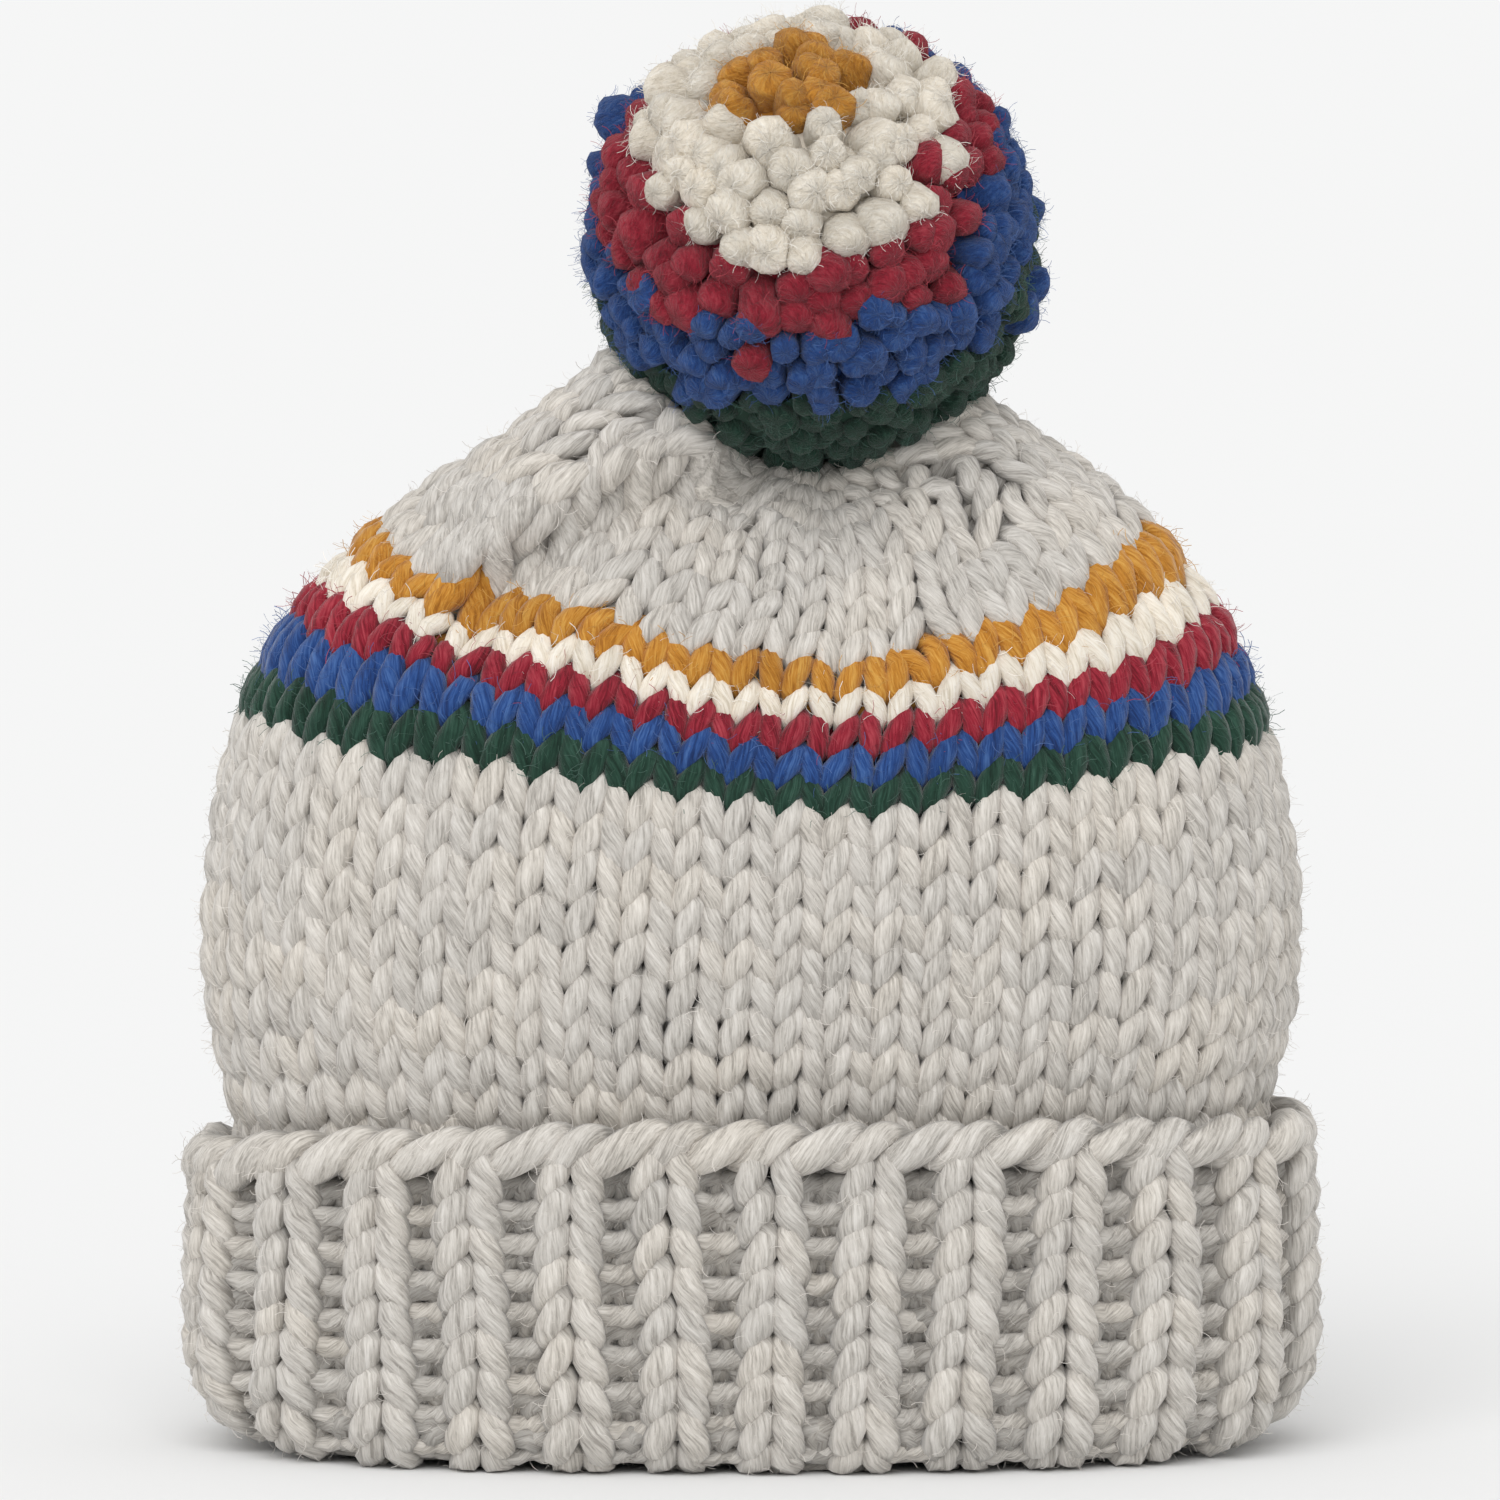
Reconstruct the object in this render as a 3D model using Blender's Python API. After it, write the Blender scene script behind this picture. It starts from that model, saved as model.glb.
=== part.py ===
"""A chunky hand-knitted beanie: a ribbed cuff turned up on itself, a plain knitted body, five one-row
yarn stripes, a gathered crown with one soft fold, and a cut-yarn pompom seated in the gather.
Metres, +Z up. The front faces -Y and the hat stands on the fold of its cuff at Z = 0."""
import functools
import math

import bmesh
import bpy
from mathutils import Vector

# Driving dimensions, in metres
BODY_WIDTH = 0.231
BODY_DEPTH = 0.100
BODY_RISE = 0.155
CUFF_HEIGHT = 0.0725
CUFF_SLIT = 0.0007
CUFF_BELLY = 0.001
FOLD_ROUND = 0.006
CORNER_ROUND = 0.009
CORNER_RISE = 0.018
CORNER_LIFT = 0.003
EDGE_ROUND = 0.005
RIB_DEPTH = 0.003
WALL = 0.008
POMPOM_DIAMETER = 0.096
LOCK_LENGTH = 0.011
TIP_HEIGHT = 0.003
POMPOM_CORE_DIAMETER = 0.057
CORE_COVER = 0.0015
CREASE_RIDGE = 0.007
CREASE_VALLEY = 0.005
CREASE_REACH = 0.007
CREASE_BOW = 0.006
CREASE_DEPTH_FADE = 0.015
TUCK_DROP = 0.006
TUCK_REACH = 0.014
CLEARANCE = 0.0003

# Shares of the sizes above: where the fold's round has its middle facet, the height of the cuff's
# belly, how far the edge's round stands in and reaches down, and the crease's ridge and valley off its
# line, in reaches. CORNER_POWER keeps the fold's wider round to the hat's left and right ends.
FOLD_FACET = 0.3
BELLY_AT = 0.45
EDGE_IN = 0.2
EDGE_DOWN = 0.8
RIDGE_AT = 1.1
VALLEY_AT = -0.7
CREASE_END_FADE = 1.2
CORNER_POWER = 6

# Counts of the knitting; GATHER_OPEN is how much of the last row stays open under the pompom
STITCHES = 52
RIBS = STITCHES // 2
SIDES_PER_RIB = 4
BODY_ROWS = 9
CROWN_ROWS = 9
GATHER_OPEN = 0.3
SEAM_ROW = -2.0

# The wall, level by level. row: knitted rows above the cuff's edge. left, right: ends of the row as
# shares of half the width. depth: share of half the depth. rise_left, rise_front, rise_right: height
# above the cuff's edge as shares of the rise. low: where the row hangs lowest, a share of half the
# width. square: the plan's exponent, where 2 is an ellipse.
LEVEL_COLUMNS = ("row", "left", "right", "depth", "rise_left", "rise_front", "rise_right", "low", "square")
LEVELS = (
    (-2.0, -0.946, 0.946, 0.910, -0.116, -0.116, -0.116, 0.00, 2.4),
    (0.0, -0.946, 0.946, 0.915, -0.020, 0.000, -0.004, 0.02, 2.4),
    (3.0, -0.996, 0.996, 0.978, 0.168, 0.142, 0.155, 0.08, 2.3),
    (6.0, -0.984, 0.992, 1.000, 0.355, 0.284, 0.335, 0.16, 2.3),
    (9.0, -0.931, 0.952, 0.970, 0.535, 0.426, 0.510, 0.24, 2.2),
    (10.0, -0.892, 0.926, 0.940, 0.600, 0.464, 0.568, 0.24, 2.2),
    (11.0, -0.844, 0.896, 0.905, 0.665, 0.502, 0.623, 0.22, 2.2),
    (12.0, -0.792, 0.868, 0.865, 0.716, 0.539, 0.674, 0.20, 2.2),
    (13.0, -0.732, 0.818, 0.820, 0.758, 0.577, 0.729, 0.18, 2.2),
    (14.0, -0.675, 0.753, 0.770, 0.800, 0.614, 0.787, 0.17, 2.2),
    (16.0, -0.476, 0.602, 0.655, 0.903, 0.686, 0.890, 0.15, 2.1),
    (18.0, -0.315, 0.490, 0.510, 0.988, 0.752, 0.965, 0.13, 2.1),
    (19.0, -0.235, 0.430, 0.425, 1.008, 0.782, 0.985, 0.12, 2.0),
    (20.0, -0.120, 0.335, 0.330, 0.930, 0.809, 0.925, 0.12, 2.0),
    (22.0, 0.043, 0.180, 0.120, 0.859, 0.853, 0.859, 0.12, 2.0),
    (23.0, 0.111, 0.115, 0.010, 0.855, 0.855, 0.855, 0.113, 2.0),
)
SAG_POWER = 1.5

# The crown's crease from its lower end to the pompom: across, a share of half the width, and rise, a
# share of the rise
CREASE_ENDS = (
    (-0.575, 0.680),
    (-0.070, 0.885),
)

# The tuck where the crease starts: how far across it hangs lowest, a share of half the width, and the
# rows between which it grows and between which it goes
TUCK_AT = -0.50
TUCK_GROWS = (11.0, 14.0)
TUCK_GOES = (14.5, 17.5)

# The stripes, from the lowest up, one knitted row each
STRIPES = ("green", "blue", "red", "cream", "gold")

# The pompom's yarns from its pole outwards: colour, and the angles from the pole, in degrees, at which
# its locks begin and end. SIDE_STRETCH makes the rings oval.
POLE = Vector((-0.10, -0.72, 0.69)).normalized()
SIDE_STRETCH = 1.2
ZONES = (
    ("gold", 0.0, 22.0),
    ("cream", 22.0, 51.0),
    ("red", 51.0, 70.0),
    ("blue", 70.0, 94.0),
    ("green", 94.0, 181.0),
)
LOCK_TAPER = 0.85
LOCK_UNEVEN = 0.12
LOCK_WAVES = Vector((40.0, 70.0, 90.0))

# Yarn colours, linear RGB, with a roughness of wool
WOOL_ROUGHNESS = 0.9
YARNS = {
    "grey": (0.60, 0.57, 0.53, 1.0),
    "gold": (0.56, 0.25, 0.02, 1.0),
    "cream": (0.84, 0.78, 0.68, 1.0),
    "red": (0.38, 0.02, 0.03, 1.0),
    "blue": (0.03, 0.08, 0.32, 1.0),
    "green": (0.02, 0.06, 0.04, 1.0),
}

HALF_WIDTH = BODY_WIDTH / 2
HALF_DEPTH = BODY_DEPTH / 2
STRIPE_START = float(BODY_ROWS)
STRIPE_END = STRIPE_START + len(STRIPES)
GATHER_ROW = STRIPE_END + CROWN_ROWS - GATHER_OPEN
PLAN_STEPS = 720
POMPOM_RADIUS = POMPOM_DIAMETER / 2


@functools.lru_cache(maxsize=None)
def level(row):
    """Every column of LEVELS at any row, read from one smooth curve through the levels."""
    last = len(LEVELS) - 1
    index = max([k for k in range(last) if LEVELS[k][0] <= row] or [0])
    start = LEVELS[index]
    end = LEVELS[index + 1]
    before = LEVELS[max(index - 1, 0)]
    after = LEVELS[min(index + 2, last)]
    span = end[0] - start[0]
    t = (row - start[0]) / span
    values = {}
    for column, name in enumerate(LEVEL_COLUMNS):
        leave = span * (end[column] - before[column]) / (end[0] - before[0])
        arrive = span * (after[column] - start[column]) / (after[0] - start[0])
        rise = end[column] - start[column]
        curve = (leave + arrive - 2 * rise) * t ** 3 + (3 * rise - 2 * leave - arrive) * t ** 2
        values[name] = start[column] + leave * t + curve
    return values


def plan_point(angle, half_width, half_depth, square):
    """A point of a row's plan: angle 0 is at the front, and a quarter turn on is at +X."""
    side = math.sin(angle)
    front = -math.cos(angle)
    x = half_width * math.copysign(abs(side) ** (2 / square), side)
    y = half_depth * math.copysign(abs(front) ** (2 / square), front)
    return x, y


@functools.lru_cache(maxsize=None)
def plan_lengths(row):
    """The length run round a row's plan at each of PLAN_STEPS equal angles."""
    here = level(row)
    half_width = HALF_WIDTH * (here["right"] - here["left"]) / 2
    half_depth = HALF_DEPTH * here["depth"]
    lengths = [0.0]
    last = plan_point(0.0, half_width, half_depth, here["square"])
    for step in range(1, PLAN_STEPS + 1):
        point = plan_point(2 * math.pi * step / PLAN_STEPS, half_width, half_depth, here["square"])
        lengths.append(lengths[-1] + math.dist(last, point))
        last = point
    return lengths


def plan_angle(row, share):
    """The angle at which a share of the row's length has been run, so that stitches lie evenly."""
    lengths = plan_lengths(row)
    target = (share % 1.0) * lengths[-1]
    low = 0
    high = PLAN_STEPS
    while high - low > 1:
        middle = (low + high) // 2
        if lengths[middle] <= target:
            low = middle
        else:
            high = middle
    part = (target - lengths[low]) / (lengths[high] - lengths[low])
    return 2 * math.pi * (low + part) / PLAN_STEPS


def tuck(row, x, y):
    """How far the fabric hangs down at the front where the crease starts."""
    grown = min(max((row - TUCK_GROWS[0]) / (TUCK_GROWS[1] - TUCK_GROWS[0]), 0.0), 1.0)
    left = min(max((TUCK_GOES[1] - row) / (TUCK_GOES[1] - TUCK_GOES[0]), 0.0), 1.0)
    fade = min(max(-y / CREASE_DEPTH_FADE, 0.0), 1.0)
    return TUCK_DROP * grown * left * fade * math.exp(-((x - HALF_WIDTH * TUCK_AT) / TUCK_REACH) ** 2)


def wall(row, share):
    """The wall's outer face, before the crease: row counts up from the cuff, share runs round."""
    here = level(row)
    half_width = HALF_WIDTH * (here["right"] - here["left"]) / 2
    middle = HALF_WIDTH * (here["right"] + here["left"]) / 2
    x, y = plan_point(plan_angle(row, share), half_width, HALF_DEPTH * here["depth"], here["square"])
    x += middle
    low = HALF_WIDTH * here["low"]
    side = "right" if x > low else "left"
    sag = min(abs((x - low) / (HALF_WIDTH * here[side] - low)), 1.0) ** SAG_POWER
    rise = here["rise_front"] + (here["rise_" + side] - here["rise_front"]) * sag
    return Vector((x, y, CUFF_HEIGHT + BODY_RISE * rise - tuck(row, x, y)))


def wall_normal(row, share):
    """The outward direction of the wall's outer face."""
    step_round = 0.004
    step_up = 0.1
    around = wall(row, share + step_round) - wall(row, share - step_round)
    up = wall(min(row + step_up, LEVELS[-1][0]), share) - wall(max(row - step_up, SEAM_ROW), share)
    return around.cross(up).normalized()


def crease(point):
    """How far the crown's fold lifts the wall at a point (ridge) or sinks it (valley)."""
    start, end = [(HALF_WIDTH * across, CUFF_HEIGHT + BODY_RISE * rise) for across, rise in CREASE_ENDS]
    run = (point.x - start[0]) / (end[0] - start[0])
    if point.y >= 0 or not 0 < run < CREASE_END_FADE:
        return 0.0
    line = start[1] + (end[1] - start[1]) * run + CREASE_BOW * 4 * run * (1 - run)
    above = (point.z - line) / CREASE_REACH
    fade = min(-point.y / CREASE_DEPTH_FADE, 1.0) * math.sin(math.pi * min(run, 0.5))
    ridge = CREASE_RIDGE * math.exp(-(above - RIDGE_AT) ** 2)
    valley = CREASE_VALLEY * math.exp(-(above - VALLEY_AT) ** 2)
    return fade * (ridge - valley)


def pompom_centre():
    """The pompom's centre: its underside lies on the gathered top of the crown."""
    gather = wall(GATHER_ROW, 0.0)
    return Vector((gather.x, 0.0, gather.z + CLEARANCE + POMPOM_RADIUS))


def clear_of_pompom(point, radius):
    """The point, pushed out of a ball about the pompom's centre, as the pompom dents the crown."""
    centre = pompom_centre()
    away = point - centre
    if away.length >= radius:
        return point
    return centre + away.normalized() * radius


def outer_face(row, share):
    """The finished outer face of the wall."""
    base = wall(row, share)
    if row > STRIPE_END - 2:
        base = base + wall_normal(row, share) * crease(base)
    return clear_of_pompom(base, POMPOM_RADIUS + CLEARANCE)


def inner_face(row, share):
    """The finished inner face of the wall, one wall's thickness in."""
    base = wall(row, share) - wall_normal(row, share) * WALL
    return clear_of_pompom(base, POMPOM_RADIUS + CLEARANCE + WALL)


def row_gap(row):
    """Half the clearance between two pieces that meet at a row, counted in rows."""
    shares = (0.0, 0.125, 0.25, 0.75, 0.875)
    pitch = min((wall(row + 0.5, share) - wall(row - 0.5, share)).length for share in shares)
    return CLEARANCE / 2 / pitch


def yarn_material(colour):
    """A plain woollen finish in one yarn colour."""
    name = "yarn_" + colour
    material = bpy.data.materials.get(name) or bpy.data.materials.new(name)
    material.use_nodes = True
    shader = material.node_tree.nodes["Principled BSDF"]
    shader.inputs["Base Color"].default_value = YARNS[colour]
    shader.inputs["Roughness"].default_value = WOOL_ROUGHNESS
    shader.inputs["Metallic"].default_value = 0.0
    material.diffuse_color = YARNS[colour]
    return material


def add_piece(name, mesh_data, colour):
    """An object in the hat's collection from a finished bmesh, shaded smooth."""
    bmesh.ops.remove_doubles(mesh_data, verts=mesh_data.verts[:], dist=1e-6)
    bmesh.ops.recalc_face_normals(mesh_data, faces=mesh_data.faces[:])
    mesh = bpy.data.meshes.new(name)
    mesh_data.to_mesh(mesh)
    mesh_data.free()
    mesh.shade_smooth()
    mesh.set_sharp_from_angle(angle=math.radians(50))
    mesh.materials.append(yarn_material(colour))
    piece = bpy.data.objects.new(name, mesh)
    HAT.objects.link(piece)
    return piece


def extrude_rings(rings, sides):
    """A bmesh skin run through rings of points, from one circle that is extruded and moved."""
    skin = bmesh.new()
    bmesh.ops.create_circle(skin, cap_ends=False, radius=1.0, segments=sides)
    skin.verts.ensure_lookup_table()
    loop = list(skin.verts)
    for vert, point in zip(loop, rings[0]):
        vert.co = point
    edges = list(skin.edges)
    for ring in rings[1:]:
        grown = bmesh.ops.extrude_edge_only(skin, edges=edges)["geom"]
        fresh = {item for item in grown if isinstance(item, bmesh.types.BMVert)}
        edges = [item for item in grown if isinstance(item, bmesh.types.BMEdge)
                 and item.verts[0] in fresh and item.verts[1] in fresh]
        loop = [next(edge.other_vert(vert) for edge in vert.link_edges if edge.other_vert(vert) in fresh)
                for vert in loop]
        for vert, point in zip(loop, ring):
            vert.co = point
    return skin


def knitted_band(name, colour, outer_rows, inner_rows):
    """A closed band of wall: up the outer face, over, down the inner face and back."""
    rings = [[outer_face(row, k / STITCHES) for k in range(STITCHES)] for row in outer_rows]
    rings += [[inner_face(row, k / STITCHES) for k in range(STITCHES)] for row in reversed(inner_rows)]
    rings.append(rings[0])
    return add_piece(name, extrude_rings(rings, STITCHES), colour)


def band_rows(first, last, steps):
    """Rows from first to last in equal steps, held clear of the next pieces by half the gap."""
    low = first + row_gap(first)
    high = last - row_gap(last)
    return [low + (high - low) * k / steps for k in range(steps + 1)]


def build_body():
    """The plain grey wall between the cuff's seam and the stripes."""
    outer = band_rows(SEAM_ROW, STRIPE_START, 8)
    inner = band_rows(SEAM_ROW, STRIPE_START, 4)
    return knitted_band("body", "grey", outer, inner)


def build_stripes():
    """Five bands, one knitted row each, in their own yarns."""
    for index, colour in enumerate(STRIPES):
        rows = band_rows(STRIPE_START + index, STRIPE_START + index + 1, 1)
        knitted_band("stripe_" + colour, colour, rows, rows)


def build_crown():
    """The grey crown, drawn together under the pompom and closed there."""
    low = STRIPE_END + row_gap(STRIPE_END)
    outer = [low] + [STRIPE_END + k for k in range(1, CROWN_ROWS)] + [GATHER_ROW]
    inner = [low] + [STRIPE_END + k for k in range(2, CROWN_ROWS, 2)] + [GATHER_ROW]
    rings = [[inner_face(row, k / STITCHES) for k in range(STITCHES)] for row in reversed(inner)]
    rings += [[outer_face(row, k / STITCHES) for k in range(STITCHES)] for row in outer]
    skin = extrude_rings(rings, STITCHES)
    rims = [edge for edge in skin.edges if edge.is_boundary]
    caps = bmesh.ops.holes_fill(skin, edges=rims, sides=STITCHES)["faces"]
    bmesh.ops.poke(skin, faces=caps)
    return add_piece("crown", skin, "grey")


def rib_wave(share):
    """1 on a rib's crest and -1 in the furrow beside it."""
    return math.cos(2 * math.pi * RIBS * share)


def side_end(share):
    """1 at the cuff's left and right ends, 0 along its front and back."""
    return min(abs(wall(0.0, share).x) / (HALF_WIDTH * LEVELS[1][2]), 1.0) ** CORNER_POWER


def cuff_section(share):
    """The cuff's section at one place round it: (out from the wall's outer face, height) pairs, from
    the flat foot up the turned-up leaf, over its edge, down the slit and up the wall behind it. The
    fold is rounder towards the left and right ends, where it also lifts a little off the ground."""
    edge = wall(0.0, share).z
    end = side_end(share)
    lift = CORNER_LIFT * end
    fold_in = FOLD_ROUND + (CORNER_ROUND - FOLD_ROUND) * end
    fold_up = FOLD_ROUND + (CORNER_RISE - FOLD_ROUND) * end
    seam = wall(SEAM_ROW + row_gap(SEAM_ROW), share).z - CLEARANCE
    leaf_in = CUFF_SLIT
    leaf_out = CUFF_SLIT + WALL
    rib = RIB_DEPTH / 2 * rib_wave(share)
    return (
        (leaf_out - fold_in, lift),
        (leaf_out - fold_in * FOLD_FACET + rib, lift + fold_up * FOLD_FACET),
        (leaf_out + rib, lift + fold_up),
        (leaf_out + CUFF_BELLY + rib, edge * BELLY_AT),
        (leaf_out + rib, edge - 2 * EDGE_ROUND),
        (leaf_out - EDGE_ROUND * EDGE_IN, edge - EDGE_ROUND * EDGE_DOWN),
        (leaf_in + WALL / 2, edge),
        (leaf_in, edge - EDGE_ROUND),
        (leaf_in, WALL),
        (0.0, WALL),
        (0.0, seam),
        (-WALL, seam),
        (-WALL - rib, FOLD_ROUND),
        (-WALL + FOLD_ROUND * (1 - FOLD_FACET), lift),
    )


def build_cuff():
    """The ribbed cuff: the wall runs down to a fold, turns out and comes back up as a loose leaf."""
    sides = RIBS * SIDES_PER_RIB
    sections = []
    for k in range(sides):
        share = k / sides
        foot = wall(0.0, share)
        beside = wall(0.0, share + 0.002) - wall(0.0, share - 0.002)
        out = Vector((beside.y, -beside.x, 0.0)).normalized()
        places = [Vector((foot.x, foot.y, 0.0)) + out * away + Vector((0.0, 0.0, height))
                  for away, height in cuff_section(share)]
        sections.append(places)
    rings = [list(ring) for ring in zip(*sections)]
    rings.append(rings[0])
    return add_piece("cuff", extrude_rings(rings, sides), "grey")


def pole_angle(direction):
    """The angle in degrees from the pompom's pole, stretched sideways to the yarns' oval rings."""
    side = Vector((1.0, 0.0, 0.0))
    side = (side - POLE * side.dot(POLE)).normalized()
    forward = direction.dot(POLE)
    across = direction.dot(side) * SIDE_STRETCH
    other = direction.dot(POLE.cross(side))
    return math.degrees(math.atan2(math.hypot(across, other), forward))


def ball_of_cells(radius):
    """A ball of five- and six-sided faces, one for each lock of yarn, about its own centre."""
    ball = bmesh.new()
    bmesh.ops.create_icosphere(ball, subdivisions=2, radius=radius)
    bmesh.ops.bevel(ball, geom=ball.verts[:], offset=100 / 3, offset_type="PERCENT", affect="VERTICES",
                    segments=1, profile=0.5, material=-1)
    for vert in ball.verts:
        vert.co = vert.co.normalized() * radius
    return ball


def build_pompom_zone(colour, from_angle, to_angle):
    """All the locks of one yarn: each a tapered peg on a backing that runs in to the core."""
    backing = POMPOM_RADIUS - LOCK_LENGTH
    inside = POMPOM_CORE_DIAMETER / 2 + CORE_COVER
    locks = ball_of_cells(backing)
    others = [face for face in locks.faces
              if not from_angle <= pole_angle(face.calc_center_median().normalized()) < to_angle]
    bmesh.ops.delete(locks, geom=others, context="FACES")
    rim = bmesh.ops.inset_region(locks, faces=locks.faces[:], thickness=CLEARANCE, use_boundary=True,
                                 use_even_offset=True)["faces"]
    bmesh.ops.delete(locks, geom=rim, context="FACES")
    for vert in locks.verts:
        vert.co = vert.co.normalized() * inside
    grown = bmesh.ops.extrude_face_region(locks, geom=locks.faces[:])["geom"]
    cells = [item for item in grown if isinstance(item, bmesh.types.BMFace)]
    for vert in {vert for face in cells for vert in face.verts}:
        vert.co = vert.co.normalized() * backing
    tips = bmesh.ops.extrude_discrete_faces(locks, faces=cells)["faces"]
    for face in tips:
        middle = face.calc_center_median()
        out = middle.normalized()
        uneven = LOCK_UNEVEN * (0.5 + 0.5 * math.sin(LOCK_WAVES.dot(out)))
        shoulder = POMPOM_RADIUS - TIP_HEIGHT - LOCK_LENGTH * uneven
        for vert in face.verts:
            vert.co = out * shoulder + (vert.co - middle) * LOCK_TAPER
    points = bmesh.ops.poke(locks, faces=tips)["verts"]
    for vert in points:
        vert.co = vert.co.normalized() * (vert.co.length + TIP_HEIGHT)
    bmesh.ops.translate(locks, vec=pompom_centre(), verts=locks.verts[:])
    return add_piece("pompom_" + colour, locks, colour)


def build_pompom_core():
    """The tied middle of the pompom, where every lock's yarn is bound."""
    core = bmesh.new()
    bmesh.ops.create_icosphere(core, subdivisions=3, radius=POMPOM_CORE_DIAMETER / 2)
    bmesh.ops.translate(core, vec=pompom_centre(), verts=core.verts[:])
    return add_piece("pompom_core", core, "grey")


for leftover in list(bpy.data.objects):
    bpy.data.objects.remove(leftover, do_unlink=True)
HAT = bpy.data.collections.new("beanie")
bpy.context.scene.collection.children.link(HAT)

build_cuff()
build_body()
build_stripes()
build_crown()
build_pompom_core()
for zone in ZONES:
    build_pompom_zone(*zone)
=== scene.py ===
import math

import bmesh
import bpy
import numpy as np
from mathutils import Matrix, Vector, noise


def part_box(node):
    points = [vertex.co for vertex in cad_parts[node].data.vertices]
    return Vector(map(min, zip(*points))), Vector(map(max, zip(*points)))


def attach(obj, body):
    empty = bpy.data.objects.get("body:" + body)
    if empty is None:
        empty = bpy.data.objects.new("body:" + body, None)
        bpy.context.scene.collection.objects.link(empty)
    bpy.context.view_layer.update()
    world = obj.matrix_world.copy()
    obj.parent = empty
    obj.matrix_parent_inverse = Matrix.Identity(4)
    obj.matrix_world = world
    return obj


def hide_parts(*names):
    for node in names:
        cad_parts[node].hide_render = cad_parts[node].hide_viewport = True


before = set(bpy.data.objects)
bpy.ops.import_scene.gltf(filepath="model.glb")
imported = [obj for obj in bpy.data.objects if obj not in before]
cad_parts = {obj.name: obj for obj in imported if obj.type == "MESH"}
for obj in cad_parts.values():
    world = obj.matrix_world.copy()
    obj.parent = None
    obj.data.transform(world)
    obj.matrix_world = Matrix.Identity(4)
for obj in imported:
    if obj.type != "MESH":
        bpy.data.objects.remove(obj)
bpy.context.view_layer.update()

# The view: the hat stands upright on a pale table and is seen from the front, a little from above,
# through a long lens. One photo pixel is about 0.21 mm of the real hat.
PHOTO_SIDE = 1500
PIXEL = 0.00021
PHOTO_MIDDLE_HEIGHT = 0.1465
CAMERA_DISTANCE = 2.6
CAMERA_RISE = math.radians(5)
SENSOR = 36.0

eye = bpy.data.cameras.new("camera")
eye.sensor_width = SENSOR
eye.lens = SENSOR * CAMERA_DISTANCE / (PHOTO_SIDE * PIXEL)
eye.clip_end = 100
camera = bpy.data.objects.new("camera", eye)
aim = Vector((0.0, 0.0, PHOTO_MIDDLE_HEIGHT))
camera.location = aim + CAMERA_DISTANCE * Vector((0, -math.cos(CAMERA_RISE), math.sin(CAMERA_RISE)))
camera.rotation_euler = (aim - camera.location).to_track_quat("-Z", "Y").to_euler()
bpy.context.scene.collection.objects.link(camera)
bpy.context.scene.camera = camera
bpy.context.scene.view_settings.view_transform = "Standard"

# Plain studio light: a bright even sky and one very soft sun from the upper left, so that the shading
# is gentle and the table stays one pale tone.
SKY_COLOUR = (1.0, 0.995, 0.985, 1.0)
SKY_STRENGTH = 0.78
SUN_STRENGTH = 1.30
SUN_SOFTNESS = math.radians(50)
SUN_DIRECTION = Vector((0.16, 0.70, -0.80))

sky = bpy.data.worlds.new("sky")
sky.use_nodes = True
sky.node_tree.nodes["Background"].inputs["Color"].default_value = SKY_COLOUR
sky.node_tree.nodes["Background"].inputs["Strength"].default_value = SKY_STRENGTH
bpy.context.scene.world = sky
lamp = bpy.data.lights.new("sun", "SUN")
lamp.energy = SUN_STRENGTH
lamp.angle = SUN_SOFTNESS
sun = bpy.data.objects.new("sun", lamp)
sun.rotation_euler = SUN_DIRECTION.to_track_quat("-Z", "Y").to_euler()
bpy.context.scene.collection.objects.link(sun)

# The table: one wide pale disc at the height of the cuff's fold.
TABLE_RADIUS = 40.0
TABLE_COLOUR = (0.845, 0.85, 0.855, 1.0)

disc = bmesh.new()
bmesh.ops.create_circle(disc, cap_ends=True, segments=64, radius=TABLE_RADIUS)
table_mesh = bpy.data.meshes.new("table")
disc.to_mesh(table_mesh)
disc.free()
table_material = bpy.data.materials.new("pale_table")
table_material.use_nodes = True
table_material.node_tree.nodes["Principled BSDF"].inputs["Base Color"].default_value = TABLE_COLOUR
table_material.node_tree.nodes["Principled BSDF"].inputs["Roughness"].default_value = 1.0
table_material.node_tree.nodes["Principled BSDF"].inputs["Specular IOR Level"].default_value = 0.0
table_mesh.materials.append(table_material)
table = bpy.data.objects.new("table", table_mesh)
bpy.context.scene.collection.objects.link(table)

# The body: a tube of plain knitting in super bulky grey yarn, about 11 mm to a stitch, worked in the
# round. Each row is one continuous strand of loops, each drawn up through the loop below it, so the
# outside shows columns of V's and the inside shows bumps.
BODY_WIDTH = 0.231
BODY_DEPTH = 0.100
BODY_RISE = 0.155
CUFF_HEIGHT = 0.0725
WALL = 0.008
YARN = 0.0054
STITCH_WIDTH = 0.0102
ROW_HEIGHT = 0.0077
STITCHES = 52
BODY_ROWS = 9
STRIPE_ROWS = 5
STRIPE_END = BODY_ROWS + STRIPE_ROWS
LOOP_REACH = 0.93
LOOP_SWAY = 0.21
LOOP_LEAN = 0.10
LOOP_DEPTH = 0.0018
STITCH_POINTS = 18
YARN_TWIST = 0.22
LUMPS_PER_METRE = 260
HIDDEN_ROWS = 1
COLUMN_SHIFT = 0.4
THIN_AT_TURNS = 0.88
PLUMP_AT_LEGS = 0.19
ROOM_LIMITS = (0.80, 1.28)
RIB_EDGE = 1.7
SIDE_DRIFT = 0.10
SIDE_RIPPLE = 0.04
UP_DRIFT = 0.12
UP_RIPPLE = 0.07
STRAND_OFFSET = 0.37
MILLIMETRES = 1000
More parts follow.
